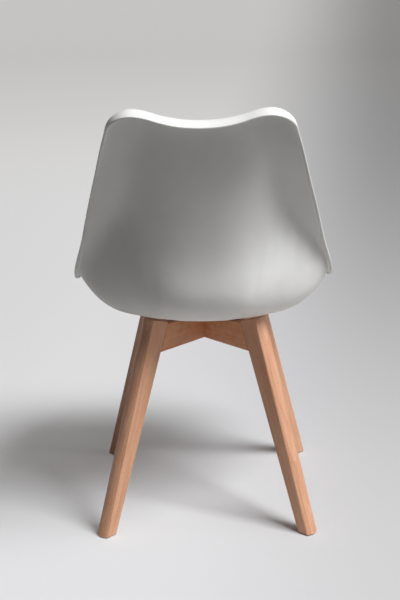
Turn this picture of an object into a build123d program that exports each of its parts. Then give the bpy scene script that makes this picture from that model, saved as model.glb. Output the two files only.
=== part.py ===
from build123d import *
import os
from math import atan2, cos, pi, sin

os.makedirs("parts", exist_ok=True)

# A dining chair: a moulded bucket shell with a seat pad, on a crossed beech frame with four
# splayed legs. Millimetres, +Z up. The sitter faces -Y, and the origin lies on the floor under
# the middle of the whole chair. The back leans out behind, so the legs stand forward of it.

# ---------------------------------------------------------------- driving dimensions

# Leg frame. Legs and rails stand on the diagonals, so each is drawn in the XZ plane, with X as
# the radius from the crossing of the rails, and is then turned into its place.
frame_y = -51.25
wood_thickness = 28.4
frame_top = 386.0
rail_depth = 52.0
leg_outer_at_floor = 281.0
leg_outer_slope = 1 / 3
leg_inner_at_floor = 258.0
leg_inner_slope = 0.381
leg_crown = 5.0
leg_top_inner = 389.0
leg_blank_top = 412.0
leg_outer_round = 2.5
leg_inner_round = 1.5
rail_round = 2.0
corners = {"rear_right": 45, "rear_left": 135, "front_left": 225, "front_right": 315}

glide_height = 2.5
glide_diameter = 18.0
nail_diameter = 2.0
nail_length = 16.0
nail_start = 1.2

dowel_diameter = 8.0
dowel_length = 36.0
dowel_spacing = 28.0

# Shell fixing. At each rail end a bolt rises through the rail and a spacer into an insert that is
# moulded into a boss of the shell.
fixing_radius = 72.0
spacer_diameter = 44.0
spacer_height = 6.0
bolt_diameter = 6.0
bolt_clearance = 6.6
bolt_length = 50.0
bolt_head_diameter = 10.0
bolt_head_height = 6.0
bolt_socket_width = 5.0
counterbore_diameter = 15.0
counterbore_depth = 16.0
washer_diameter = 12.0
washer_thickness = 1.6
insert_diameter = 9.0
insert_length = 9.0
lap_screw_diameter = 5.0
lap_screw_head = 10.0
lap_screw_length = 40.0

# Shell moulding.
wall = 4.5
boss_diameter = 30.0
boss_height = 8.0
rib_thickness = 3.0
rib_height = 5.0
floor_bow = 0.13
seat_wall_power = 5.7
back_low_power = 2.9
back_top_power = 2.25
back_flare = 0.67
wing_margin = 0.19
top_margin_loss = 0.12
lip_radius_side = 5.5
lip_radius_top = 24.0
lip_straight = 2.0
mould_draw = Vector(0, 1, -1).normalized()

# Seat pad.
board_width = 196.0
board_length = 184.0
board_thickness = 6.0
board_corner = 45.0
board_centre_y = -22.0
board_lift = 4.5
pad_screw_diameter = 4.0
pad_screw_head = 8.0
pad_screw_head_height = 2.4
pad_screw_length = 16.0
pad_boss_diameter = 15.0
pad_boss_height = 2.5
pad_clearance = 2.0
pad_edge_thickness = 26.0
pad_middle_thickness = 50.0

# ---------------------------------------------------------------- heights worked out

rail_bottom = frame_top - rail_depth
spacer_top = frame_top + spacer_height
floor_underside = spacer_top + boss_height
floor_middle = floor_underside + wall / 2
floor_inside = floor_underside + wall
bolt_seat = rail_bottom + counterbore_depth
washer_bottom = bolt_seat - washer_thickness
board_bottom = floor_inside + board_lift
board_top = board_bottom + board_thickness
pad_bottom = board_top + 0.5
pad_screw_top = floor_underside - pad_boss_height + pad_screw_length
pad_screw_places = [(84, 0), (-84, 0), (0, -98), (0, 54)]


def turned(angle):
    return Location((0, frame_y, 0), (0, 0, angle))


def level(height):
    return Plane((0, frame_y, height))


def leg_outer(height):
    return leg_outer_at_floor - leg_outer_slope * height


def leg_inner(height):
    return leg_inner_at_floor - leg_inner_slope * height


# ---------------------------------------------------------------- legs
# Each leg tapers towards the floor, with flat sides and a crowned outer edge. Its straight inner
# edge takes the end of the rail, which two dowels hold. The foot is cut level for its
# glide, and the top square to the outer edge, close under the shell.

half_wood = wood_thickness / 2
joint_height = rail_bottom + rail_depth / 2
joint_place = Plane(
    origin=(leg_inner(joint_height), 0, joint_height), x_dir=(0, 1, 0), z_dir=(1, 0, leg_inner_slope)
).location
top_place = Plane(
    origin=(leg_inner(leg_top_inner), 0, leg_top_inner), z_dir=(-leg_outer_slope, 0, 1)
).location
foot_radius = (leg_inner(0) + leg_outer(0)) / 2 + 1


for corner, angle in corners.items():
    with BuildPart() as leg:
        for height in (glide_height, leg_blank_top):
            with BuildSketch(Plane(turned(angle)).offset(height)) as section:
                with BuildLine():
                    Polyline(
                        (leg_outer(height), -half_wood),
                        (leg_inner(height), -half_wood),
                        (leg_inner(height), half_wood),
                        (leg_outer(height), half_wood),
                    )
                    ThreePointArc(
                        (leg_outer(height), half_wood),
                        (leg_outer(height) + leg_crown, 0),
                        (leg_outer(height), -half_wood),
                    )
                make_face()
                fillet(section.vertices().group_by(Axis.X)[-1], leg_outer_round)
                fillet(section.vertices().group_by(Axis.X)[0], leg_inner_round)
        loft(ruled=True)
        split(bisect_by=Plane(turned(angle) * top_place), keep=Keep.BOTTOM)
        with BuildSketch(Plane(turned(angle) * joint_place)):
            with GridLocations(0, dowel_spacing, 1, 2):
                Circle(dowel_diameter / 2)
        extrude(amount=dowel_length / 2, mode=Mode.SUBTRACT)
        with BuildSketch(Plane(turned(angle)).offset(glide_height)):
            with Locations((foot_radius, 0)):
                Circle(nail_diameter / 2)
        extrude(amount=nail_start + nail_length - glide_height, mode=Mode.SUBTRACT)
    leg.part.label = "leg_" + corner
    export_step(leg.part, "parts/leg_" + corner + ".step")

# ---------------------------------------------------------------- dowels
# Beech dowels, two to a leg and square to the joint.

for corner, angle in corners.items():
    with BuildPart() as dowels:
        with BuildSketch(Plane(turned(angle) * joint_place)):
            with GridLocations(0, dowel_spacing, 1, 2):
                Circle(dowel_diameter / 2)
        extrude(amount=dowel_length / 2, both=True)
    dowels.part.label = "dowels_" + corner
    export_step(dowels.part, "parts/dowels_" + corner + ".step")

# ---------------------------------------------------------------- rails
# Two equal rails cross in the middle in a halving joint: the lower one is notched from above, the
# upper one from below. Both ends are cut to the slope of the legs, and a countersunk screw
# holds the joint.

lap_height = joint_height
lap_depth = {"rail_lower": rail_depth / 2, "rail_upper": -rail_depth / 2}
rail_angle = {"rail_lower": 45, "rail_upper": 135}

for name, angle in rail_angle.items():
    turn = turned(angle)
    with BuildPart() as rail:
        with BuildSketch(Plane(turn * Plane.XZ.location)):
            with BuildLine():
                Polyline(
                    (-leg_inner(rail_bottom), rail_bottom),
                    (leg_inner(rail_bottom), rail_bottom),
                    (leg_inner(frame_top), frame_top),
                    (-leg_inner(frame_top), frame_top),
                    close=True,
                )
            make_face()
        extrude(amount=half_wood, both=True)
        fillet(rail.edges().filter_by(Axis((0, frame_y, 0), Plane(turn).x_dir)), rail_round)
        with BuildSketch(Plane(turn).offset(lap_height)):
            Rectangle(wood_thickness, wood_thickness)
        extrude(amount=lap_depth[name], mode=Mode.SUBTRACT)
        with BuildSketch(Plane(turn).offset(rail_bottom)):
            with GridLocations(2 * fixing_radius, 0, 2, 1):
                Circle(bolt_clearance / 2)
        extrude(amount=rail_depth, mode=Mode.SUBTRACT)
        with BuildSketch(Plane(turn).offset(rail_bottom)):
            with GridLocations(2 * fixing_radius, 0, 2, 1):
                Circle(counterbore_diameter / 2)
        extrude(amount=counterbore_depth, mode=Mode.SUBTRACT)
        for end in (angle, angle + 180):
            with BuildSketch(Plane(turned(end) * joint_place)):
                with GridLocations(0, dowel_spacing, 1, 2):
                    Circle(dowel_diameter / 2)
            extrude(amount=-dowel_length / 2, mode=Mode.SUBTRACT)
        with BuildSketch(level(rail_bottom)):
            Circle(lap_screw_diameter / 2)
        extrude(amount=lap_screw_length, mode=Mode.SUBTRACT)
        if name == "rail_lower":
            with BuildSketch(level(rail_bottom)):
                Circle(lap_screw_head / 2)
            with BuildSketch(level(rail_bottom + (lap_screw_head - lap_screw_diameter) / 2)):
                Circle(lap_screw_diameter / 2)
            loft(mode=Mode.SUBTRACT)
    rail.part.label = name
    export_step(rail.part, "parts/" + name + ".step")

with BuildPart() as lap_screw:
    with BuildSketch(Plane(turned(0) * Plane.XZ.location)):
        with BuildLine():
            Polyline(
                (0, rail_bottom),
                (lap_screw_head / 2, rail_bottom),
                (lap_screw_diameter / 2, rail_bottom + (lap_screw_head - lap_screw_diameter) / 2),
                (lap_screw_diameter / 2, rail_bottom + lap_screw_length - lap_screw_diameter),
                (0, rail_bottom + lap_screw_length),
                close=True,
            )
        make_face()
    revolve(axis=Axis((0, frame_y, 0), (0, 0, 1)))
    with BuildSketch(level(rail_bottom)):
        Rectangle(lap_screw_head * 0.5, 1.2)
        Rectangle(1.2, lap_screw_head * 0.5)
    extrude(amount=2, mode=Mode.SUBTRACT)
lap_screw.part.label = "lap_screw"
export_step(lap_screw.part, "parts/lap_screw.step")

# ---------------------------------------------------------------- glides
# A nylon disc under each foot, with the nail that holds it.

for corner, angle in corners.items():
    with BuildPart() as glide:
        with BuildSketch(Plane(turned(angle))):
            with Locations((foot_radius, 0)):
                Circle(glide_diameter / 2)
        extrude(amount=glide_height)
        chamfer(glide.edges().group_by(Axis.Z)[0], 0.6)
        with BuildSketch(Plane(turned(angle)).offset(nail_start)):
            with Locations((foot_radius, 0)):
                Circle(nail_diameter / 2)
        extrude(amount=glide_height, mode=Mode.SUBTRACT)
    glide.part.label = "glide_" + corner
    export_step(glide.part, "parts/glide_" + corner + ".step")

with BuildPart() as glide_nails:
    with BuildSketch(level(nail_start)):
        with PolarLocations(foot_radius, 4, start_angle=45):
            Circle(nail_diameter / 2)
    extrude(amount=nail_length)
glide_nails.part.label = "glide_nails"
export_step(glide_nails.part, "parts/glide_nails.step")

# ---------------------------------------------------------------- shell fixings
# Spacers, washers, socket-head bolts and moulded-in inserts, one set at each rail end.

for corner, angle in corners.items():
    with BuildPart() as spacer:
        with BuildSketch(Plane(turned(angle)).offset(frame_top)):
            with Locations((fixing_radius, 0)):
                Circle(spacer_diameter / 2)
                Circle(bolt_clearance / 2, mode=Mode.SUBTRACT)
        extrude(amount=spacer_height)
        chamfer(spacer.edges().filter_by(GeomType.CIRCLE).group_by(SortBy.RADIUS)[-1], 0.6)
    spacer.part.label = "spacer_" + corner
    export_step(spacer.part, "parts/spacer_" + corner + ".step")

with BuildPart() as washers:
    with BuildSketch(level(washer_bottom)):
        with PolarLocations(fixing_radius, 4, start_angle=45):
            Circle(washer_diameter / 2)
            Circle(bolt_clearance / 2, mode=Mode.SUBTRACT)
    extrude(amount=washer_thickness)
washers.part.label = "bolt_washers"
export_step(washers.part, "parts/bolt_washers.step")

with BuildPart() as bolts:
    with BuildSketch(level(washer_bottom - bolt_head_height)):
        with PolarLocations(fixing_radius, 4, start_angle=45):
            Circle(bolt_head_diameter / 2)
    extrude(amount=bolt_head_height)
    with BuildSketch(level(washer_bottom)):
        with PolarLocations(fixing_radius, 4, start_angle=45):
            Circle(bolt_diameter / 2)
    extrude(amount=bolt_length)
    with BuildSketch(level(washer_bottom - bolt_head_height)):
        with PolarLocations(fixing_radius, 4, start_angle=45):
            RegularPolygon(bolt_socket_width / 2, 6, major_radius=False)
    extrude(amount=bolt_head_height / 2, mode=Mode.SUBTRACT)
bolts.part.label = "seat_bolts"
export_step(bolts.part, "parts/seat_bolts.step")

with BuildPart() as inserts:
    with BuildSketch(level(spacer_top)):
        with PolarLocations(fixing_radius, 4, start_angle=45):
            Circle(insert_diameter / 2)
            Circle(bolt_diameter / 2, mode=Mode.SUBTRACT)
    extrude(amount=insert_length)
inserts.part.label = "threaded_inserts"
export_step(inserts.part, "parts/threaded_inserts.step")

# ---------------------------------------------------------------- shell surface
# Two curves carry the moulding, its centre line and its right-hand edge, both from the front of
# the seat to the top of the back. A place on it is given by across, 0 on the centre line and 1 on
# the edge, and along, 0 at the front and 1 at the top. The seat is a flat floor between steep
# walls. The back is a rounder hollow between two wings that lie nearly flat along their edge.

with BuildLine(Plane(turned(0) * Plane.YZ.location)) as centre_curve:
    Spline(
        (-226, 436),
        (-180, 418.5),
        (-105, floor_middle + 2),
        (-50, floor_middle),
        (40, floor_middle),
        (98, 403.5),
        (147, 413),
        (185, 438),
        (198, 468),
        (200.5, 500),
        (207, 560),
        (221, 620),
        (249, 700),
        (282, 780),
        (290, 799),
    )
with BuildLine(level(0)) as edge_curve:
    Spline(
        (180, -228, 440),
        (193, -180, 446),
        (208, -105, 454),
        (218.5, -40, 461),
        (227.5, 10, 466.5),
        (234.5, 45, 470),
        (234, 60, 479),
        (227.3, 83, 500),
        (215, 122, 560),
        (200.5, 162, 620),
        (180.5, 219, 700),
        (159.5, 274, 780),
        (149, 299, 826),
    )
centre_line = centre_curve.line
edge_line = edge_curve.line
pad_along = 0.32


def ease(value):
    value = min(1, max(0, value))
    return value * value * (3 - 2 * value)


def surface_point(across, along):
    middle = centre_line @ along
    side = edge_line @ along
    out = abs(across)
    seat_rise = floor_bow * out**2 + (1 - floor_bow) * out**seat_wall_power
    margin = wing_margin * ease((along - 0.455) / 0.225) - top_margin_loss * ease((along - 0.794) / 0.206)
    out = min(1, out / (1 - margin))
    power = back_low_power + (back_top_power - back_low_power) * ease((along - 0.486) / 0.46)
    back_rise = (1 + back_flare) * out**power - back_flare * out ** (power + 4)
    rise = seat_rise + (back_rise - seat_rise) * ease((along - 0.387) / 0.15)
    return Vector(
        across * side.X,
        middle.Y + (side.Y - middle.Y) * rise,
        middle.Z + (side.Z - middle.Z) * rise,
    )


def surface_normal(across, along):
    # Points to the sitter's side
    step = 0.004
    along = min(1 - step, max(step, along))
    run_across = surface_point(across + step, along) - surface_point(across - step, along)
    run_along = surface_point(across, along + step) - surface_point(across, along - step)
    return run_across.cross(run_along).normalized()


def half_outline(front, back, width, front_corner, back_corner):
    """Right half of a rounded outline in (across, along), from the front centre to the back
    centre. The corners are quarter ellipses, given as (across, along)."""
    points = []
    for i in range(5):
        points.append(((width - front_corner[0]) * i / 5, front))
    for i in range(5):
        turn = pi / 2 * i / 5
        across = width - front_corner[0] * (1 - sin(turn))
        points.append((across, front + front_corner[1] * (1 - cos(turn))))
    side_start = front + front_corner[1]
    side_length = back - back_corner[1] - side_start
    for i in range(9):
        points.append((width, side_start + side_length * i / 9))
    for i in range(5):
        turn = pi / 2 * i / 5
        across = width - back_corner[0] * (1 - cos(turn))
        points.append((across, back - back_corner[1] * (1 - sin(turn))))
    for i in range(6):
        points.append(((width - back_corner[0]) * (1 - i / 5), back))
    return points


def scaled_outline(outline, scale):
    # Shrinks an outline towards the middle of the seat floor
    return [(across * scale, pad_along + scale * (along - pad_along)) for across, along in outline]


def offset_ring(outline, scale, offset):
    return [
        surface_point(across, along) + surface_normal(across, along) * offset
        for across, along in scaled_outline(outline, scale)
    ]


def levelled(ring, height=None):
    # Lays a ring in a level plane
    height = height or sum(point.Z for point in ring) / len(ring)
    return [Vector(point.X, point.Y, height) for point in ring]


def chord_stations(ring):
    # Where each point of a half ring comes along it, from 0 to 1
    lengths = [0]
    for first, second in zip(ring, ring[1:]):
        lengths.append(lengths[-1] + (second - first).length)
    return [length / lengths[-1] for length in lengths]


def closed_wire(ring, stations):
    # A smooth curve through a half ring, square to the centre plane, and its mirror image
    ends = (0, len(ring) - 1)
    points = [Vector(0, p.Y, p.Z) if i in ends else p for i, p in enumerate(ring)]
    half = Edge.make_spline(points, tangents=[(1, 0, 0), (-1, 0, 0)], parameters=stations)
    return Wire([half, half.mirror(Plane.YZ)])


def skinned_solid(rings, stations, breaks):
    """Closed solid through half rings, capped at both ends. Each span between two breaks is one
    smooth skin."""
    wires = [closed_wire(ring, stations) for ring in rings]
    faces = [Face(wires[0]), Face(wires[-1])]
    for start, end in zip(breaks, breaks[1:]):
        faces.extend(Shell.make_loft(wires[start : end + 1]).faces())
    return Solid(Shell(faces))


# ---------------------------------------------------------------- shell
# One polypropylene moulding. Rings run out over the inside face, roll over the rim into a lip that
# lies in the mould's draw direction, and come back over the outside face. The lip is deeper
# along the top of the back.

shell_outline = half_outline(0, 1, 1, (0.25, 0.08), (0.31, 0.08))
shell_scales = (0.1, 0.15, 0.24, 0.36, 0.48, 0.6, 0.72, 0.82, 0.9, 0.95, 0.98)
lip_steps = 5


def lip_ring_points(steps):
    """Rings over the rolled rim. Each has one point for each point of the outline."""
    rim = [surface_point(across, along) for across, along in shell_outline]
    inside = []
    outside = []
    edge = []
    for index, (across, along) in enumerate(shell_outline):
        point = rim[index]
        normal = surface_normal(across, along)
        before = rim[index - 1] if index > 0 else Vector(-rim[1].X, rim[1].Y, rim[1].Z)
        last = index == len(rim) - 1
        after = Vector(-rim[index - 1].X, rim[index - 1].Y, rim[index - 1].Z) if last else rim[index + 1]
        outward = (after - before).cross(normal).normalized()
        full_turn = atan2(-normal.dot(mould_draw), outward.dot(mould_draw))
        radius = lip_radius_side + (lip_radius_top - lip_radius_side) * ease((along - 0.93) / 0.07)
        inside_row = []
        outside_row = []
        for step in range(steps + 1):
            turn = full_turn * step / steps
            middle = point + outward * (radius * sin(turn)) - normal * (radius * (1 - cos(turn)))
            face = normal * cos(turn) + outward * sin(turn)
            inside_row.append(middle + face * (wall / 2))
            outside_row.append(middle - face * (wall / 2))
        onward = outward * cos(full_turn) - normal * sin(full_turn)
        middle += onward * lip_straight
        edge.append(
            [
                middle + face * (wall / 2),
                middle + face * (wall / 4) + onward * (wall / 4),
                middle - face * (wall / 4) + onward * (wall / 4),
                middle - face * (wall / 2),
            ]
        )
        inside.append(inside_row)
        outside.append(outside_row)
    over = [list(column) for column in zip(*inside)]
    tip = [list(column) for column in zip(*edge)]
    under = [list(column) for column in zip(*outside)][::-1]
    return over, tip, under


over, tip, under = lip_ring_points(lip_steps)
inside_rings = [offset_ring(shell_outline, scale, wall / 2) for scale in shell_scales]
outside_rings = [offset_ring(shell_outline, scale, -wall / 2) for scale in reversed(shell_scales)]
inside_rings[0] = levelled(inside_rings[0])
outside_rings[-1] = levelled(outside_rings[-1])
shell_rings = inside_rings + over + tip + under + outside_rings
inside_rim = len(inside_rings)
tip_start = inside_rim + lip_steps + 1
tip_end = tip_start + len(tip) - 1
outside_rim = tip_end + lip_steps + 1
last_ring = len(shell_rings) - 1
shell_breaks = [0, inside_rim, *range(tip_start - 1, tip_end + 2), outside_rim, last_ring]
rim_stations = chord_stations([surface_point(across, along) for across, along in shell_outline])

with BuildPart() as shell:
    add(skinned_solid(shell_rings, rim_stations, shell_breaks))
    # Four bosses under the seat carry the bolt inserts, and a round rib ties them together
    with BuildSketch(level(spacer_top)):
        with PolarLocations(fixing_radius, 4, start_angle=45):
            Circle(boss_diameter / 2)
    extrude(amount=floor_middle - spacer_top)
    with BuildSketch(level(floor_underside - rib_height)):
        Circle(fixing_radius + rib_thickness / 2)
        Circle(fixing_radius - rib_thickness / 2, mode=Mode.SUBTRACT)
    extrude(amount=floor_middle - floor_underside + rib_height)
    with BuildSketch(level(spacer_top)):
        with PolarLocations(fixing_radius, 4, start_angle=45):
            Circle(insert_diameter / 2)
    extrude(amount=insert_length, mode=Mode.SUBTRACT)
    # Four hollow pillars pass through the floor. The pad's board stands on them
    with BuildSketch(level(floor_underside - pad_boss_height)):
        with Locations(*pad_screw_places):
            Circle(pad_boss_diameter / 2)
    extrude(amount=board_bottom - floor_underside + pad_boss_height)
    with BuildSketch(level(floor_underside - pad_boss_height)):
        with Locations(*pad_screw_places):
            Circle(pad_screw_diameter / 2)
    extrude(amount=board_bottom - floor_underside + pad_boss_height, mode=Mode.SUBTRACT)
shell.part.label = "shell"
export_step(shell.part, "parts/shell.step")

# ---------------------------------------------------------------- seat pad
# Foam under a soft cover, built on a thin board that four screws hold from below.

with BuildPart() as pad_board:
    with BuildSketch(level(board_bottom)):
        with Locations((0, board_centre_y)):
            RectangleRounded(board_width, board_length, board_corner)
    extrude(amount=board_thickness)
    with BuildSketch(level(board_bottom)):
        with Locations(*pad_screw_places):
            Circle(pad_screw_diameter / 2)
    extrude(amount=pad_screw_top - board_bottom, mode=Mode.SUBTRACT)
pad_board.part.label = "pad_board"
export_step(pad_board.part, "parts/pad_board.step")

with BuildPart() as pad_screws:
    with BuildSketch(level(floor_underside - pad_boss_height - pad_screw_head_height)):
        with Locations(*pad_screw_places):
            Circle(pad_screw_head / 2)
    extrude(amount=pad_screw_head_height)
    with BuildSketch(level(floor_underside - pad_boss_height)):
        with Locations(*pad_screw_places):
            Circle(pad_screw_diameter / 2)
    extrude(amount=pad_screw_length)
pad_screws.part.label = "pad_screws"
export_step(pad_screws.part, "parts/pad_screws.step")

pad_outline = half_outline(0.035, 0.48, 0.84, (0.3, 0.08), (0.42, 0.1))
pad_crown = pad_middle_thickness - pad_edge_thickness
pad_under = [(scale, wall / 2 + pad_clearance) for scale in (0.62, 0.74, 0.85, 0.93, 0.97)]
pad_side = [(0.995, 8.0), (1.01, 15.0), (0.995, 22.0)]
pad_over_scales = (0.97, 0.93, 0.85, 0.7, 0.5, 0.3)
pad_over = [(scale, pad_edge_thickness + pad_crown * (1 - scale**2)) for scale in pad_over_scales]
pad_rings = []
for scale, offset in pad_under + pad_side + pad_over:
    ring = offset_ring(pad_outline, scale, offset)
    pad_rings.append([Vector(point.X, point.Y, max(point.Z, pad_bottom)) for point in ring])
pad_rings[0] = levelled(pad_rings[0], pad_bottom)
pad_rings[-1] = levelled(pad_rings[-1])
pad_stations = chord_stations(pad_rings[len(pad_under)])
pad_breaks = [0, len(pad_under) - 1, len(pad_under) + len(pad_side), len(pad_rings) - 1]

with BuildPart() as seat_pad:
    add(skinned_solid(pad_rings, pad_stations, pad_breaks))
seat_pad.part.label = "seat_pad"
export_step(seat_pad.part, "parts/seat_pad.step")
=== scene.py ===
import math

import bmesh
import bpy
from mathutils import Matrix, Vector
from mathutils.bvhtree import BVHTree
from mathutils.kdtree import KDTree


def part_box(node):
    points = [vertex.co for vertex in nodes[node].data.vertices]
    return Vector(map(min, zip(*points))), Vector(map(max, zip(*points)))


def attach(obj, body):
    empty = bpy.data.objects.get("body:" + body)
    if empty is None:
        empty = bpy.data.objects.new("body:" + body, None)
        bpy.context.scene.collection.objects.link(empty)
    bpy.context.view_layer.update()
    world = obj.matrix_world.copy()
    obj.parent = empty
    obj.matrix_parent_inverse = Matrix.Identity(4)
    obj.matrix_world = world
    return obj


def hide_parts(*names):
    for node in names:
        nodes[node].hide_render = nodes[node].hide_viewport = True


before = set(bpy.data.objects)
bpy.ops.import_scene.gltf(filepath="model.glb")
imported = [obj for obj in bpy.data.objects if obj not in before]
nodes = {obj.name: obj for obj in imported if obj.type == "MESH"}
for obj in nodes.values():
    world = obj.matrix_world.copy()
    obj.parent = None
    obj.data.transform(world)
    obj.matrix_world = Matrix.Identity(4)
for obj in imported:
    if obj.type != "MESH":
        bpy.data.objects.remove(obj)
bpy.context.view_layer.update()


# ---------------------------------------------------------------- legs
# Four tapered legs of solid beech, planed and sanded, with a crowned outer edge and a thin satin
# lacquer. The grain runs along each leg, so every leg has its own turn of the same wood.

leg_corners = {"rear_right": 45, "rear_left": 135, "front_left": 225, "front_right": 315}
leg_run_out = 0.357  # how far a leg runs out for each metre of height
leg_lean = math.atan(leg_run_out)


def place(tree, kind, settings=None, values=None):
    """One node, with its settings and the values of its sockets."""
    made = tree.nodes.new(kind)
    for name, value in (settings or {}).items():
        setattr(made, name, value)
    for name, value in (values or {}).items():
        if isinstance(value, bpy.types.NodeSocket):
            tree.links.new(value, made.inputs[name])
        else:
            made.inputs[name].default_value = value
    return made


def spot_on(tree):
    """The place on the piece, in the chair's own metres."""
    return place(tree, "ShaderNodeTexCoord").outputs["Object"]


def split(tree, vector):
    return place(tree, "ShaderNodeSeparateXYZ", {}, {0: vector}).outputs


def maths(tree, operation, first, second=0.0, clamp=False):
    settings = {"operation": operation, "use_clamp": clamp}
    return place(tree, "ShaderNodeMath", settings, {0: first, 1: second}).outputs[0]


def ramp(tree, value, low, high, to_low=0.0, to_high=1.0):
    """value brought smoothly from low..high to to_low..to_high, and held at the ends."""
    settings = {"interpolation_type": "SMOOTHSTEP", "clamp": True}
    sockets = {"Value": value, "From Min": low, "From Max": high, "To Min": to_low, "To Max": to_high}
    return place(tree, "ShaderNodeMapRange", settings, sockets).outputs["Result"]


def blend_colours(tree, share, first, second):
    settings = {"data_type": "RGBA", "blend_type": "MIX"}
    return place(tree, "ShaderNodeMix", settings, {0: share, 6: first, 7: second}).outputs[2]


def noise(tree, place_on, scale, detail=2.0, roughness=0.5):
    values = {"Vector": place_on, "Scale": scale, "Detail": detail, "Roughness": roughness}
    return place(tree, "ShaderNodeTexNoise", {}, values).outputs["Fac"]


def new_effect(name, inputs, outputs):
    """A node group that several finishes share, with its inputs' starting values."""
    tree = bpy.data.node_groups.new(name, "ShaderNodeTree")
    for label, kind, value in inputs:
        socket = tree.interface.new_socket(label, in_out="INPUT", socket_type="NodeSocket" + kind)
        socket.default_value = value
    for label, kind in outputs:
        tree.interface.new_socket(label, in_out="OUTPUT", socket_type="NodeSocket" + kind)
    return tree, tree.nodes.new("NodeGroupInput").outputs, tree.nodes.new("NodeGroupOutput").inputs


def use_effect(tree, effect, values):
    return place(tree, "ShaderNodeGroup", {"node_tree": effect}, values).outputs


def new_finish(name, **constants):
    """A material with its shader, whose even values are set on the shader itself."""
    material = bpy.data.materials.new(name)
    material.use_nodes = True
    shader = material.node_tree.nodes["Principled BSDF"]
    for socket, value in constants.items():
        shader.inputs[socket.replace("_", " ")].default_value = value
    return material, material.node_tree, shader


def feed(tree, shader, **values):
    """Links each value to the shader's socket of that name."""
    for socket, value in values.items():
        tree.links.new(value, shader.inputs[socket.replace("_", " ")])


def bump(tree, shader, height, distance, strength=1.0):
    values = {"Height": height, "Distance": distance, "Strength": strength}
    feed(tree, shader, Normal=place(tree, "ShaderNodeBump", {}, values).outputs["Normal"])


def dress(name, material):
    """The finish of a piece that comes from the frame as it is."""
    piece = nodes[name]
    piece.data.materials.clear()
    piece.data.materials.append(material)


# Wood: growth rings round a pith beside the blank, long fibre streaks, and the short brown
# rays that mark beech.
wood_grain, given, result = new_effect(
    "wood_grain",
    [
        ("Turn", "Vector", (0, 0, 0)),
        ("Shift", "Vector", (0, 0, 0)),
        ("Ring Width", "Float", 0.0028),
        ("Ray Amount", "Float", 1.0),
        ("Pale", "Color", (0.71, 0.41, 0.265, 1)),
        ("Deep", "Color", (0.53, 0.24, 0.125, 1)),
        ("Ray", "Color", (0.35, 0.14, 0.06, 1)),
    ],
    [("Color", "Color"), ("Streak", "Float"), ("Height", "Float")],
)
pith_aside = 0.07
ring_wander = 0.022
drift_size = (0.03, 0.25)  # across and along the grain, as in the next three
fibre_size = (0.0009, 0.045)
figure_size = (0.006, 0.12)
ray_size = (0.0015, 0.0042)
ring_strength = 0.34
fibre_strength = 0.34
figure_strength = 0.38
ray_strength = 0.62

t = wood_grain
turned = {"Vector": spot_on(t), "Rotation": given["Turn"], "Location": given["Shift"]}
along = place(t, "ShaderNodeMapping", {}, turned).outputs["Vector"]


def stretched(tree, vector, across_length, along_length):
    """Coordinates in which a cell is across_length wide and along_length long with the grain."""
    scale = (1 / across_length, 1 / across_length, 1 / along_length)
    values = {0: vector, 1: scale}
    return place(tree, "ShaderNodeVectorMath", {"operation": "MULTIPLY"}, values).outputs[0]


drift = noise(t, stretched(t, along, *drift_size), 1.0, 2.0)
parts = split(t, along)
pith_x = maths(t, "POWER", maths(t, "ADD", parts["X"], pith_aside), 2.0)
pith_y = maths(t, "POWER", parts["Y"], 2.0)
from_pith = maths(t, "SQRT", maths(t, "ADD", pith_x, pith_y))
wandering = maths(t, "ADD", from_pith, maths(t, "MULTIPLY", drift, ring_wander))
ring = maths(t, "FRACT", maths(t, "DIVIDE", wandering, given["Ring Width"]))
late_wood = maths(t, "MULTIPLY", ramp(t, ring, 0.15, 0.85), ramp(t, ring, 0.88, 1.0, 1.0, 0.0))
fibre = noise(t, stretched(t, along, *fibre_size), 1.0, 3.0, 0.6)
figure = noise(t, stretched(t, along, *figure_size), 1.0, 3.0, 0.55)
ray_cells = place(
    t,
    "ShaderNodeTexVoronoi",
    {"feature": "F1"},
    {"Vector": stretched(t, along, *ray_size), "Scale": 1.0, "Randomness": 0.9},
)
ray_pick = place(t, "ShaderNodeSeparateColor", {}, {0: ray_cells.outputs["Color"]}).outputs[0]
ray_core = ramp(t, ray_cells.outputs["Distance"], 0.16, 0.34, 1.0, 0.0)
every_ray = maths(t, "MULTIPLY", ray_core, ramp(t, ray_pick, 0.35, 0.55))
ray_mask = maths(t, "MULTIPLY", every_ray, given["Ray Amount"], True)
ring_dark = maths(t, "MULTIPLY", late_wood, ring_strength)
fibre_dark = maths(t, "MULTIPLY", ramp(t, fibre, 0.3, 0.75), fibre_strength)
figure_dark = maths(t, "MULTIPLY", ramp(t, figure, 0.35, 0.7), figure_strength)
darkness = maths(t, "ADD", ring_dark, maths(t, "ADD", fibre_dark, figure_dark), True)
ground = blend_colours(t, darkness, given["Pale"], given["Deep"])
ray_share = maths(t, "MULTIPLY", ray_mask, ray_strength)
t.links.new(blend_colours(t, ray_share, ground, given["Ray"]), result["Color"])
t.links.new(darkness, result["Streak"])
height = maths(t, "ADD", maths(t, "MULTIPLY", fibre, 0.6), maths(t, "MULTIPLY", ray_mask, -0.35))
t.links.new(height, result["Height"])

# Handling: edges that stand proud are rubbed, in broken patches.
edge_wear, given, result = new_effect(
    "edge_wear",
    [
        ("Amount", "Float", 1.0),
        ("Patch Size", "Float", 0.01),
        ("Start", "Float", 0.53),
        ("Full", "Float", 0.62),
    ],
    [("Mask", "Float")],
)
t = edge_wear
pointed = place(t, "ShaderNodeNewGeometry").outputs["Pointiness"]
patches = noise(t, spot_on(t), maths(t, "DIVIDE", 1.0, given["Patch Size"]), 3.0, 0.6)
proud = ramp(t, pointed, given["Start"], given["Full"])
patchy = maths(t, "MULTIPLY", proud, ramp(t, patches, 0.35, 0.65))
t.links.new(maths(t, "MULTIPLY", patchy, given["Amount"], True), result["Mask"])


rubbed_beech = (0.74, 0.50, 0.33, 1)


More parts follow.
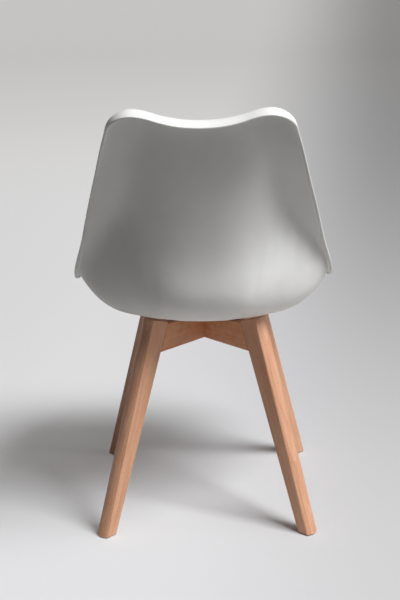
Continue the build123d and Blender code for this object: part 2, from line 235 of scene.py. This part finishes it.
def lacquered_beech(name, turn, shift, **own):
    """Beech under satin lacquer, with its grain turned to run along Z of the turned frame."""
    lacquer = {"Coat_Roughness": 0.32, "Coat_IOR": 1.45, "Specular_IOR_Level": 0.4}
    material, tree, shader = new_finish(name, **lacquer)
    grain = use_effect(tree, wood_grain, {"Turn": turn, "Shift": shift, **own})
    worn = use_effect(tree, edge_wear, {"Amount": 0.35, "Patch Size": 0.012})["Mask"]
    feed(tree, shader, Base_Color=blend_colours(tree, worn, grain["Color"], rubbed_beech))
    streaked = maths(tree, "MULTIPLY", grain["Streak"], 0.12)
    dull = maths(tree, "ADD", streaked, maths(tree, "MULTIPLY", worn, 0.1))
    feed(tree, shader, Roughness=maths(tree, "ADD", dull, 0.42))
    feed(tree, shader, Coat_Weight=ramp(tree, grain["Streak"], 0.0, 1.0, 0.22, 0.12))
    bump(tree, shader, grain["Height"], 0.00006, 0.6)
    return material


def grain_turn(lean, angle):
    """The turn that lays the grain along a piece which leans by lean, at angle round the chair."""
    leaned = Matrix.Rotation(lean, 3, "Y") @ Matrix.Rotation(-math.radians(angle), 3, "Z")
    return tuple(leaned.to_euler("XYZ"))


next_blank = (0.031, 0.017, 0.37)  # how far each leg is cut from the one before
for count, (corner, angle) in enumerate(leg_corners.items()):
    shift = tuple(count * length for length in next_blank)
    beech = lacquered_beech("beech_leg_" + corner, grain_turn(leg_lean, angle), shift)
    dress("leg_" + corner, beech)


# ---------------------------------------------------------------- dowels
# Fluted hardwood dowels, two in each leg, glued into the leg and the end of its rail. They are
# paler than the beech and have no lacquer.

dowel_finish, tree, shader = new_finish("dowel_wood", Specular_IOR_Level=0.3)
grain = use_effect(
    tree,
    wood_grain,
    {
        "Turn": (0.0, math.radians(90), 0.0),
        "Ring Width": 0.0016,
        "Ray Amount": 0.3,
        "Pale": (0.72, 0.55, 0.36, 1),
        "Deep": (0.56, 0.38, 0.22, 1),
    },
)
feed(tree, shader, Base_Color=grain["Color"])
feed(tree, shader, Roughness=ramp(tree, grain["Streak"], 0.0, 1.0, 0.6, 0.75))
bump(tree, shader, grain["Height"], 0.0001)
for corner in leg_corners:
    dress("dowels_" + corner, dowel_finish)


# ---------------------------------------------------------------- rails
# Two beech rails, halved over each other at the middle of the chair. Their beech is redder than the legs',
# and the extra red is painted light, for the warm light bounced between the wood and the shell in the
# shade under the seat. Their grain lies level, and each is bored from below for the bolts that hold the
# shell.

rail_angles = {"rail_lower": 45, "rail_upper": 135}
# The extra red of the rails is painted light, for the warm bounce in the shade under the shell.
redder_for_painted_bounce = {"Ray Amount": 0.9, "Pale": (0.78, 0.35, 0.175, 1), "Deep": (0.60, 0.21, 0.085, 1)}
for count, (rail, angle) in enumerate(rail_angles.items()):
    shift = (0.05 + 0.04 * count, 0.02, 1.9 + 0.6 * count)
    beech = lacquered_beech("beech_" + rail, grain_turn(math.radians(90), angle), shift, **redder_for_painted_bounce)
    dress(rail, beech)


# ---------------------------------------------------------------- lap screw
# One countersunk wood screw that pulls the halved rails together from above. It is steel, zinc
# plated in a barrel, as the bolts, washers, nails and other screws are.

zinc_blue = (0.46, 0.47, 0.49, 1)
zinc_grey = (0.62, 0.62, 0.60, 1)
zinc_rubbed = (0.75, 0.75, 0.74, 1)

zinc_plate, tree, shader = new_finish("zinc_plate", Metallic=1.0)
spot = spot_on(tree)
clouds = noise(tree, spot, 320.0, 4.0, 0.6)
streaks = noise(tree, stretched(tree, spot, 0.004, 0.0002), 1.0, 3.0)
worn = use_effect(tree, edge_wear, {"Amount": 0.8, "Patch Size": 0.002})["Mask"]
plated = blend_colours(tree, clouds, zinc_blue, zinc_grey)
feed(tree, shader, Base_Color=blend_colours(tree, worn, plated, zinc_rubbed))
feed(tree, shader, Roughness=ramp(tree, clouds, 0.2, 0.8, 0.28, 0.46))
bump(tree, shader, maths(tree, "ADD", clouds, streaks), 0.00003)
dress("lap_screw", zinc_plate)


# ---------------------------------------------------------------- glides
# A thin round glide of moulded nylon under each foot, held by a steel nail through its middle.
# The face that slides on the floor is scuffed.

scuff_low = 0.0002  # scuffed in full up to this height, and not at all above the next
scuff_high = 0.0009
nylon_black = (0.035, 0.033, 0.031, 1)
nylon_scuffed = (0.13, 0.125, 0.12, 1)

nylon, tree, shader = new_finish("glide_nylon", Specular_IOR_Level=0.45)
spot = spot_on(tree)
scuffs = noise(tree, stretched(tree, spot, 0.0006, 0.01), 1.0, 4.0, 0.65)
underside = ramp(tree, split(tree, spot)["Z"], scuff_low, scuff_high, 1.0, 0.0)
rubbed = maths(tree, "MULTIPLY", ramp(tree, scuffs, 0.4, 0.7), underside)
feed(tree, shader, Base_Color=blend_colours(tree, rubbed, nylon_black, nylon_scuffed))
feed(tree, shader, Roughness=ramp(tree, rubbed, 0.0, 1.0, 0.45, 0.7))
bump(tree, shader, scuffs, 0.00005)
for corner in leg_corners:
    dress("glide_" + corner, nylon)
dress("glide_nails", zinc_plate)


# ---------------------------------------------------------------- spacers
# Four moulded black discs between the rails and the shell, which level the seat and keep the
# plastic off the wood.

spacer_black = (0.016, 0.016, 0.017, 1)
spacer_rubbed = (0.06, 0.06, 0.06, 1)

black_plastic, tree, shader = new_finish("black_plastic", Specular_IOR_Level=0.4)
spot = spot_on(tree)
speckle = noise(tree, spot, 1600.0, 3.0, 0.6)
marks = noise(tree, spot, 90.0, 4.0, 0.6)
worn = use_effect(tree, edge_wear, {"Amount": 0.7, "Patch Size": 0.004})["Mask"]
feed(tree, shader, Base_Color=blend_colours(tree, worn, spacer_black, spacer_rubbed))
feed(tree, shader, Roughness=ramp(tree, marks, 0.3, 0.7, 0.42, 0.6))
bump(tree, shader, speckle, 0.00004)
for corner in leg_corners:
    dress("spacer_" + corner, black_plastic)


# ---------------------------------------------------------------- shell
# The bucket shell, moulded in one piece in white polypropylene with a rolled rim. Its skin has a
# fine spark-eroded texture, with faint flow marks, and the rim is polished by hands and clothes.

moulded_skin, given, result = new_effect(
    "moulded_skin",
    [("Grain Size", "Float", 0.0007), ("Flow Size", "Float", 0.09)],
    [("Height", "Float"), ("Flow", "Float"), ("Marks", "Float")],
)
t = moulded_skin
spot = spot_on(t)
fine = noise(t, spot, maths(t, "DIVIDE", 1.0, given["Grain Size"]), 3.0, 0.7)
cells = place(
    t,
    "ShaderNodeTexVoronoi",
    {"feature": "SMOOTH_F1"},
    {"Vector": spot, "Scale": maths(t, "DIVIDE", 0.7, given["Grain Size"]), "Smoothness": 0.6},
).outputs["Distance"]
t.links.new(maths(t, "ADD", fine, maths(t, "MULTIPLY", cells, 0.6)), result["Height"])
t.links.new(noise(t, spot, maths(t, "DIVIDE", 1.0, given["Flow Size"]), 3.0, 0.5), result["Flow"])
scratch = noise(t, stretched(t, spot, 0.012, 0.0008), 1.0, 5.0, 0.7)
t.links.new(ramp(t, scratch, 0.62, 0.76), result["Marks"])

white_dull = (0.775, 0.775, 0.76, 1)
white_clear = (0.815, 0.815, 0.80, 1)
white_scratched = (0.62, 0.61, 0.58, 1)
scratch_share = 0.08
rim_wear = {"Amount": 0.8, "Patch Size": 0.03, "Start": 0.51, "Full": 0.56}

shell_white, tree, shader = new_finish("shell_plastic", Specular_IOR_Level=0.36)
skin = use_effect(tree, moulded_skin, {})
worn = use_effect(tree, edge_wear, rim_wear)["Mask"]
body = blend_colours(tree, ramp(tree, skin["Flow"], 0.3, 0.7), white_dull, white_clear)
scratched = maths(tree, "MULTIPLY", skin["Marks"], scratch_share)
feed(tree, shader, Base_Color=blend_colours(tree, scratched, body, white_scratched))
flow_roughness = ramp(tree, skin["Flow"], 0.3, 0.7, 0.40, 0.47)
polished = maths(tree, "SUBTRACT", flow_roughness, maths(tree, "MULTIPLY", worn, 0.12))
feed(tree, shader, Roughness=maths(tree, "ADD", polished, scratched))
bump(tree, shader, skin["Height"], 0.00005, 0.7)

# The skin follows the moulded form. Beside the back's two edges it sinks a little, so that the
# edges flare. Its shading is evened over a finger's width, as the mould's polish evens it.
shell_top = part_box("shell")[1].z
edge_reach = 0.229  # from the middle out to the back's edge, at the level below
edge_level = 0.5
edge_slope = 0.259  # how far the edge draws in for each metre above that level
hollow_inset = 0.048
hollow_width = 0.034
hollow_depth = 0.007
hollow_starts = 0.55  # the hollow grows from this height to the next, and fades above the third
hollow_is_full = 0.64
hollow_fades = 0.76
slope_step = 0.0005
polish_reach = 0.013
polish_turn = math.cos(math.radians(20))


def eased(value, low, high):
    """0 up to low and 1 from high, with a smooth rise between them."""
    share = min(1.0, max(0.0, (value - low) / (high - low)))
    return share * share * (3 - 2 * share)


def sunk(x, z):
    """How far the wall is shifted in Y beside the back's edges, at x and z. Forward is negative."""
    inset = edge_reach - edge_slope * (z - edge_level) - abs(x) - hollow_inset
    fade = eased(z, hollow_starts, hollow_is_full) * (1 - eased(z, hollow_fades, shell_top))
    return -hollow_depth * fade * math.exp(-((inset / hollow_width) ** 2))


skin_mesh = nodes["shell"].data.copy()
facing = [Vector() for _ in skin_mesh.vertices]
for loop, normal in zip(skin_mesh.loops, skin_mesh.corner_normals):
    facing[loop.vertex_index] += normal.vector
for vertex in skin_mesh.vertices:
    x, z = vertex.co.x, vertex.co.z
    own = facing[vertex.index].normalized()
    slope_x = (sunk(x + slope_step, z) - sunk(x - slope_step, z)) / (2 * slope_step)
    slope_z = (sunk(x, z + slope_step) - sunk(x, z - slope_step)) / (2 * slope_step)
    facing[vertex.index] = (own - Vector((slope_x, 0, slope_z)) * own.y).normalized()
    vertex.co.y += sunk(x, z)
skin_points = KDTree(len(skin_mesh.vertices))
for vertex in skin_mesh.vertices:
    skin_points.insert(vertex.co, vertex.index)
skin_points.balance()
evened = []
for vertex, own in zip(skin_mesh.vertices, facing):
    total = own.copy()
    for _, index, gap in skin_points.find_range(vertex.co, polish_reach):
        if own.dot(facing[index]) > polish_turn:
            total += facing[index] * (1 - (gap / polish_reach) ** 2)
    evened.append(total.normalized())
skin_mesh.polygons.foreach_set("use_smooth", [True] * len(skin_mesh.polygons))
skin_mesh.normals_split_custom_set_from_vertices(evened)
skin_mesh.materials.clear()
skin_mesh.materials.append(shell_white)
shell_skin = bpy.data.objects.new("shell_skin", skin_mesh)
bpy.context.scene.collection.objects.link(shell_skin)
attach(shell_skin, "root")
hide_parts("shell")


# ---------------------------------------------------------------- threaded inserts
# Four turned brass bushes with a thread inside, one in each boss under the shell. They sit in
# the mould when the shell is made, and the plastic closes round them.

brass_brown = (0.62, 0.42, 0.16, 1)
brass_bright = (0.78, 0.58, 0.27, 1)

brass, tree, shader = new_finish("insert_brass", Metallic=1.0)
spot = spot_on(tree)
tarnish = noise(tree, spot, 420.0, 4.0, 0.6)
turned_marks = noise(tree, stretched(tree, spot, 0.01, 0.00035), 1.0, 2.0)
feed(tree, shader, Base_Color=blend_colours(tree, tarnish, brass_brown, brass_bright))
feed(tree, shader, Roughness=ramp(tree, tarnish, 0.2, 0.8, 0.25, 0.42))
bump(tree, shader, turned_marks, 0.00008)
dress("threaded_inserts", brass)


# ---------------------------------------------------------------- seat bolts and washers
# Zinc-plated socket-head bolts with plain washers. They rise through the rails and spacers from
# below, and draw the shell down on its four bosses.

for piece in ("seat_bolts", "bolt_washers"):
    dress(piece, zinc_plate)


# ---------------------------------------------------------------- pad board and screws
# A plywood board with rounded corners carries the pad. Four short screws from under the shell's
# floor bite into it.

veneer_thickness = 0.0012
glue_brown = (0.20, 0.12, 0.06, 1)

plywood, tree, shader = new_finish("plywood", Specular_IOR_Level=0.3)
height = split(tree, spot_on(tree))["Z"]
ply = maths(tree, "PINGPONG", maths(tree, "DIVIDE", height, veneer_thickness), 1.0)
veneer = use_effect(
    tree,
    wood_grain,
    {
        "Turn": (math.radians(90), 0.0, 0.0),
        "Ring Width": 0.009,
        "Ray Amount": 0.2,
        "Pale": (0.66, 0.50, 0.32, 1),
        "Deep": (0.49, 0.33, 0.18, 1),
    },
)
edge_glue = maths(tree, "MULTIPLY", ramp(tree, ply, 0.0, 0.12, 1.0, 0.0), 0.5)
feed(tree, shader, Base_Color=blend_colours(tree, edge_glue, veneer["Color"], glue_brown))
feed(tree, shader, Roughness=ramp(tree, veneer["Streak"], 0.0, 1.0, 0.62, 0.78))
bump(tree, shader, veneer["Height"], 0.0001)
dress("pad_board", plywood)
dress("pad_screws", zinc_plate)


# ---------------------------------------------------------------- seat pad
# A foam pad in white leathercloth, one top panel sewn to an underside that is pulled over the
# board. The foam swells the panels between the seam and the board.

pad_name = "seat_pad"
pad_low, pad_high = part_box(pad_name)
pad_middle = (pad_low + pad_high) / 2
pad_shrink = Vector((0.985, 0.985, 0.96))
pad_voxel = 0.005
pad_swell = 0.006
pad_pressure = 4.0
pad_steps = 20
pulled_under = -0.75  # what looks further down than this is held on the board

pad = bpy.data.objects.new("seat_pad_cover", nodes[pad_name].data.copy())
bpy.context.scene.collection.objects.link(pad)
for vertex in pad.data.vertices:
    away = vertex.co - pad_middle
    low_share = (vertex.co.z - pad_low.z) / (pad_high.z - pad_low.z)
    vertex.co = Vector((
        pad_middle.x + away.x * pad_shrink.x,
        pad_middle.y + away.y * pad_shrink.y,
        pad_low.z + low_share * (pad_high.z - pad_low.z) * pad_shrink.z,
    ))


def apply_modifiers(piece):
    """The piece's mesh as its modifiers leave it, in place of the old one."""
    shown = piece.evaluated_get(bpy.context.evaluated_depsgraph_get())
    mesh = bpy.data.meshes.new_from_object(shown)
    piece.modifiers.clear()
    piece.data = mesh


remesh = pad.modifiers.new("even faces", "REMESH")
remesh.mode = "VOXEL"
remesh.voxel_size = pad_voxel
apply_modifiers(pad)

held = pad.vertex_groups.new(name="held")
for vertex in pad.data.vertices:
    if vertex.normal.z < pulled_under:
        held.add([vertex.index], 1.0, "REPLACE")
start = [vertex.co.copy() for vertex in pad.data.vertices]
cloth = pad.modifiers.new("swell", "CLOTH")
cloth.settings.quality = 6
cloth.settings.mass = 0.3
cloth.settings.use_pressure = True
cloth.settings.uniform_pressure_force = pad_pressure
cloth.settings.vertex_group_mass = "held"
cloth.settings.effector_weights.gravity = 0
cloth.collision_settings.use_collision = False
scene = bpy.context.scene
for step in range(1, pad_steps + 1):
    scene.frame_set(step)
apply_modifiers(pad)
scene.frame_set(1)
for vertex, before in zip(pad.data.vertices, start):
    moved = vertex.co - before
    if moved.length > pad_swell:
        vertex.co = before + moved * (pad_swell / moved.length)

relaxed = pad.modifiers.new("relaxed cover", "SMOOTH")
relaxed.factor = 0.5
relaxed.iterations = 8
smooth = pad.modifiers.new("one subdivision", "SUBSURF")
smooth.levels = 1
smooth.render_levels = 1
apply_modifiers(pad)
pad.data.polygons.foreach_set("use_smooth", [True] * len(pad.data.polygons))

# The seam runs round the side above its widest line, drawn in between the two panels.
seam_count = 720
groove_depth = 0.0022
groove_reach = 0.0045
seam_rise = 0.008
seam_levels = 24  # heights at which each side of the pad is felt for its widest line
seam_margin = 0.04  # share of the pad's height that is left out at the top and at the bottom
seam_passes = 60
probe_reach = 0.4
pad_faces = BVHTree.FromObject(pad, bpy.context.evaluated_depsgraph_get())
seam = []
for count in range(seam_count):
    angle = 2 * math.pi * count / seam_count
    outwards = Vector((math.cos(angle), math.sin(angle), 0))
    hits = []
    for level in range(seam_levels):
        share = seam_margin + (1 - 2 * seam_margin) * level / (seam_levels - 1)
        z = pad_low.z + (pad_high.z - pad_low.z) * share
        centre = Vector((pad_middle.x, pad_middle.y, z))
        hit = pad_faces.ray_cast(centre + outwards * probe_reach, -outwards)[0]
        if hit is not None:
            hits.append(((hit - centre).length, z))
    seam.append((outwards, max(hits)[1] + seam_rise))
heights = [z for _, z in seam]
for _ in range(seam_passes):
    heights = [
        (heights[count - 1] + heights[count] + heights[(count + 1) % seam_count]) / 3
        for count in range(seam_count)
    ]
seam = [
    pad_faces.ray_cast(Vector((pad_middle.x, pad_middle.y, z)) + outwards * probe_reach, -outwards)[0]
    for (outwards, _), z in zip(seam, heights)
]
seam_line = KDTree(seam_count)
for count, point in enumerate(seam):
    seam_line.insert(point, count)
seam_line.balance()
for vertex in pad.data.vertices:
    gap = seam_line.find(vertex.co)[2]
    if gap < 4 * groove_reach:
        vertex.co -= vertex.normal * groove_depth * math.exp(-((gap / groove_reach) ** 2))

# A thin welt lies in the seam, and a row of stitches runs above it.
welt_radius = 0.0016
welt_out = 0.4  # share of its radius that the welt's middle stands out of the cover
stitch_pitch = 0.0062
stitch_length = 0.0046
stitch_radius = 0.00045
stitch_lift = 0.0045
tube_sides = 8


def add_tube(mesh, centres, crossings, radii, closed=False):
    """Skins rings of points round the centres. A crossing holds two directions across the tube."""
    turns = [2 * math.pi * count / tube_sides for count in range(tube_sides)]
    rows = []
    for centre, (side, up), radius in zip(centres, crossings, radii):
        spokes = [(side * math.cos(turn) + up * math.sin(turn)) * radius for turn in turns]
        rows.append([mesh.verts.new(centre + spoke) for spoke in spokes])
    for first, second in zip(rows, rows[1:] + (rows[:1] if closed else [])):
        for count in range(tube_sides):
            onward = (count + 1) % tube_sides
            mesh.faces.new((first[count], first[onward], second[onward], second[count])).smooth = True
    if not closed:
        mesh.faces.new(rows[0][::-1])
        mesh.faces.new(rows[-1])


def finished_piece(name, mesh, material):
    """A new piece of the fixed body, from a mesh that is then let go."""
    bmesh.ops.recalc_face_normals(mesh, faces=mesh.faces)
    data = bpy.data.meshes.new(name)
    mesh.to_mesh(data)
    mesh.free()
    data.materials.append(material)
    piece = bpy.data.objects.new(name, data)
    bpy.context.scene.collection.objects.link(piece)
    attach(piece, "root")


grooved = BVHTree.FromPolygons(
    [vertex.co for vertex in pad.data.vertices], [face.vertices for face in pad.data.polygons]
)


def on_pad(point, run):
    """The nearest place on the cover, with the directions out of it and across the run."""
    spot, out = grooved.find_nearest(point)[:2]
    return spot, out, run.cross(out).normalized()


welt = bmesh.new()
centres = []
crossings = []
for count in range(0, seam_count, 2):
    run = (seam[(count + 2) % seam_count] - seam[count - 2]).normalized()
    spot, out, across = on_pad(seam[count], run)
    centres.append(spot + out * welt_radius * welt_out)
    crossings.append((out, across))
add_tube(welt, centres, crossings, [welt_radius] * len(centres), closed=True)

# A stitch comes up out of the cover, lies over it and goes down again. Each of its points has its
# share of the length, and its height and radius in radii of the thread.
stitch_points = ((-0.5, -1.0, 0.5), (-0.3, 0.1, 0.9), (0.0, 0.5, 1.0), (0.3, 0.1, 0.9), (0.5, -1.0, 0.5))
thread = bmesh.new()
walked = 0.0
for count in range(seam_count):
    walked += (seam[count] - seam[count - 1]).length
    if walked < stitch_pitch:
        continue
    walked -= stitch_pitch
    run = (seam[(count + 1) % seam_count] - seam[count - 1]).normalized()
    spot, out, across = on_pad(seam[count] + Vector((0, 0, stitch_lift)), run)
    centres = [
        spot + run * share * stitch_length + out * painted_lift_aside * stitch_radius for share, painted_lift_aside, _ in stitch_points
    ]
    radii = [stitch_radius * wide for _, _, wide in stitch_points]
    add_tube(thread, centres, [(out, across)] * len(stitch_points), radii)

leather_grain, given, result = new_effect(
    "leather_grain",
    [("Pebble Size", "Float", 0.0016), ("Crease Size", "Float", 0.03)],
    [("Height", "Float"), ("Valley", "Float"), ("Tone", "Float")],
)
warp_size = 0.0012
t = leather_grain
spot = spot_on(t)
warp = place(t, "ShaderNodeTexNoise", {}, {"Vector": spot, "Scale": 260.0, "Detail": 2.0}).outputs["Color"]
warped = {0: warp, 1: (warp_size, warp_size, warp_size), 2: spot}
bent = place(t, "ShaderNodeVectorMath", {"operation": "MULTIPLY_ADD"}, warped).outputs[0]
pebbles = place(
    t,
    "ShaderNodeTexVoronoi",
    {"feature": "DISTANCE_TO_EDGE"},
    {"Vector": bent, "Scale": maths(t, "DIVIDE", 1.0, given["Pebble Size"])},
).outputs["Distance"]
domes = ramp(t, pebbles, 0.0, 0.35)
creases = noise(t, spot, maths(t, "DIVIDE", 1.0, given["Crease Size"]), 5.0, 0.65)
t.links.new(maths(t, "ADD", domes, maths(t, "MULTIPLY", creases, 1.5)), result["Height"])
t.links.new(maths(t, "SUBTRACT", 1.0, domes), result["Valley"])
t.links.new(creases, result["Tone"])

hide_warm = (0.76, 0.755, 0.735, 1)
hide_white = (0.80, 0.795, 0.775, 1)
valley_painted_shade = (0.60, 0.59, 0.56, 1)

leathercloth, tree, shader = new_finish("pad_leather", Specular_IOR_Level=0.45)
hide = use_effect(tree, leather_grain, {})
tone = blend_colours(tree, ramp(tree, hide["Tone"], 0.3, 0.7), hide_warm, hide_white)
# Painted shade: the valleys of the grain are greyer.
valley_shade_share = maths(tree, "MULTIPLY", hide["Valley"], 0.3)
feed(tree, shader, Base_Color=blend_colours(tree, valley_shade_share, tone, valley_painted_shade))
feed(tree, shader, Roughness=ramp(tree, hide["Valley"], 0.0, 1.0, 0.42, 0.6))
bump(tree, shader, hide["Height"], 0.00012, 0.8)
pad.data.materials.clear()
pad.data.materials.append(leathercloth)
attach(pad, "root")
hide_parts(pad_name)
finished_piece("seat_pad_welt", welt, leathercloth)

thread_groove_shade = (0.66, 0.65, 0.62, 1)
thread_white = (0.80, 0.79, 0.76, 1)

sewing_thread, tree, shader = new_finish("sewing_thread", Specular_IOR_Level=0.3, Sheen_Weight=0.3)
strands = {"Vector": spot_on(tree), "Scale": 900.0, "Distortion": 0.5}
twist = place(tree, "ShaderNodeTexWave", {"bands_direction": "DIAGONAL"}, strands).outputs["Fac"]
# Painted shade: the grooves of the twist are greyer than its strands.
feed(tree, shader, Base_Color=blend_colours(tree, twist, thread_groove_shade, thread_white))
feed(tree, shader, Roughness=ramp(tree, twist, 0.0, 1.0, 0.75, 0.6))
bump(tree, shader, twist, 0.0001)
finished_piece("seat_pad_thread", thread, sewing_thread)


# ---------------------------------------------------------------- floor and backdrop
# A round studio floor of pale paper, which curves up into a wall all round. The paper glows a little where
# it is looked at, which is painted light, and there it also carries painted shade on its -X side. Only the
# floor near the chair sends light back up to it.

inner_reach = 1.5
floor_reach = 6.0
cove_radius = 2.5
cove_steps = 12
round_steps = 96
wall_top = 5.0
profile = [(inner_reach, 0.0), (floor_reach, 0.0)]
for count in range(1, cove_steps + 1):
    angle = math.radians(90 * count / cove_steps)
    profile.append((floor_reach + cove_radius * math.sin(angle), cove_radius * (1 - math.cos(angle))))
profile.append((floor_reach + cove_radius, wall_top))
sheet = bmesh.new()
middle = sheet.verts.new((0.0, 0.0, 0.0))
turns = [2 * math.pi * count / round_steps for count in range(round_steps)]
rings = [
    [sheet.verts.new((reach * math.cos(turn), reach * math.sin(turn), height)) for turn in turns]
    for reach, height in profile
]
for count in range(round_steps):
    onward = (count + 1) % round_steps
    sheet.faces.new((middle, rings[0][count], rings[0][onward]))
    for inner, outer in zip(rings, rings[1:]):
        sheet.faces.new((inner[count], outer[count], outer[onward], inner[onward])).smooth = True
bmesh.ops.recalc_face_normals(sheet, faces=sheet.faces)
backdrop_mesh = bpy.data.meshes.new("backdrop")
sheet.to_mesh(backdrop_mesh)
sheet.free()
backdrop = bpy.data.objects.new("backdrop", backdrop_mesh)
bpy.context.scene.collection.objects.link(backdrop)

paper_pale = (0.655, 0.662, 0.684, 1)
paper_fibre = (0.675, 0.682, 0.704, 1)
paper_painted_shade = (0.56, 0.56, 0.57, 1)
paper_light = (1.0, 0.985, 0.965, 1)
near_floor = (0.67, 0.66, 0.65, 1)  # how brightly the paper lights other things, near and far
far_floor = (0.09, 0.09, 0.09, 1)
near_reach = 0.35
far_reach = 1.45
light_slant = 0.123  # how far the edge of the brighter side slants in X for each metre of Y

paper, tree, shader = new_finish(
    "studio_paper", Roughness=0.9, Specular_IOR_Level=0.1, Emission_Color=paper_light
)
spot = spot_on(tree)
fibres = noise(tree, spot, 60.0, 4.0, 0.6)
parts = split(tree, spot)
aside = maths(tree, "SUBTRACT", parts["X"], maths(tree, "MULTIPLY", parts["Y"], light_slant))
fibrous = blend_colours(tree, fibres, paper_pale, paper_fibre)
# Painted shade: where it is looked at, the paper is darker on its -X side.
fibres_and_painted_shade = blend_colours(tree, ramp(tree, aside, -0.5, 0.1, 1.0, 0.0), fibrous, paper_painted_shade)
from_chair = place(tree, "ShaderNodeVectorMath", {"operation": "LENGTH"}, {0: spot}).outputs["Value"]
unseen = blend_colours(tree, ramp(tree, from_chair, near_reach, far_reach), near_floor, far_floor)
rays = place(tree, "ShaderNodeLightPath").outputs
looked_at = maths(tree, "ADD", rays["Is Camera Ray"], rays["Is Glossy Ray"], True)
seen = maths(tree, "ADD", looked_at, rays["Is Transmission Ray"], True)
feed(tree, shader, Base_Color=blend_colours(tree, seen, unseen, fibres_and_painted_shade))

# Painted light: in front of the chair the paper's glow grows brighter with distance, more so on the +X
# side. Beside and behind the chair it brightens with the distance from the chair's own line.
away = maths(tree, "MULTIPLY", parts["Y"], -1.0)
bright_side = ramp(tree, away, -0.5, 3.5, 0.15, 0.42)
dim_side = ramp(tree, away, 1.0, 6.0, 0.0, 0.15)
brighter_by = maths(tree, "SUBTRACT", bright_side, dim_side)
painted_lift_aside = maths(tree, "MULTIPLY", ramp(tree, aside, -0.4, 0.5), brighter_by)
behind = maths(tree, "POWER", maths(tree, "MAXIMUM", parts["Y"], 0.0), 2.0)
beside = maths(tree, "POWER", parts["X"], 2.0)
from_line = maths(tree, "SQRT", maths(tree, "ADD", beside, behind))
painted_glow_ahead = maths(tree, "ADD", dim_side, painted_lift_aside)
painted_glow = maths(tree, "MAXIMUM", painted_glow_ahead, ramp(tree, from_line, 1.5, 4.5, 0.0, 0.4))
feed(tree, shader, Emission_Strength=maths(tree, "MULTIPLY", seen, painted_glow))
bump(tree, shader, fibres, 0.0002, 0.2)
backdrop_mesh.materials.append(paper)


# ---------------------------------------------------------------- lamps
# A large soft box stands high behind the chair on its -X side, with a weak one low on the same
# side. A faint warm light comes from all round.


def soft_box(name, place_at, aim, size, power):
    lamp = bpy.data.lights.new(name, "AREA")
    lamp.shape = "SQUARE"
    lamp.size = size
    lamp.energy = power
    holder = bpy.data.objects.new(name, lamp)
    holder.location = place_at
    holder.rotation_mode = "QUATERNION"
    holder.rotation_quaternion = (Vector(aim) - Vector(place_at)).to_track_quat("-Z", "Y")
    bpy.context.scene.collection.objects.link(holder)


soft_box("key", place_at=(-1.98, 1.42, 3.85), aim=(0.0, -0.05, 0.45), size=1.75, power=219.0)
soft_box("side", place_at=(-2.2, 0.45, 0.75), aim=(0.0, 0.05, 0.6), size=0.8, power=8.0)
surround = bpy.data.worlds.new("surround")
surround.use_nodes = True
surround_light = surround.node_tree.nodes["Background"].inputs
surround_light["Color"].default_value = (1.0, 0.95, 0.90, 1)
surround_light["Strength"].default_value = 0.12
bpy.context.scene.world = surround


# ---------------------------------------------------------------- camera
# It stands behind the chair, nearly on its middle line, above the top of the back. It looks down
# on the chair with a long lens.

camera_place = (-0.0047, 2.6757, 1.281)
camera_heading = 180.26  # degrees, as the next two are
camera_dip = 17.83
camera_roll = -0.88
lens = bpy.data.cameras.new("camera")
lens.lens = 88.79
lens.sensor_width = 36.0
camera = bpy.data.objects.new("camera", lens)
camera.matrix_world = (
    Matrix.Translation(camera_place)
    @ Matrix.Rotation(math.radians(camera_heading), 4, "Z")
    @ Matrix.Rotation(math.radians(90 - camera_dip), 4, "X")
    @ Matrix.Rotation(math.radians(camera_roll), 4, "Z")
)
bpy.context.scene.collection.objects.link(camera)
bpy.context.scene.camera = camera
bpy.context.scene.view_settings.view_transform = "Standard"
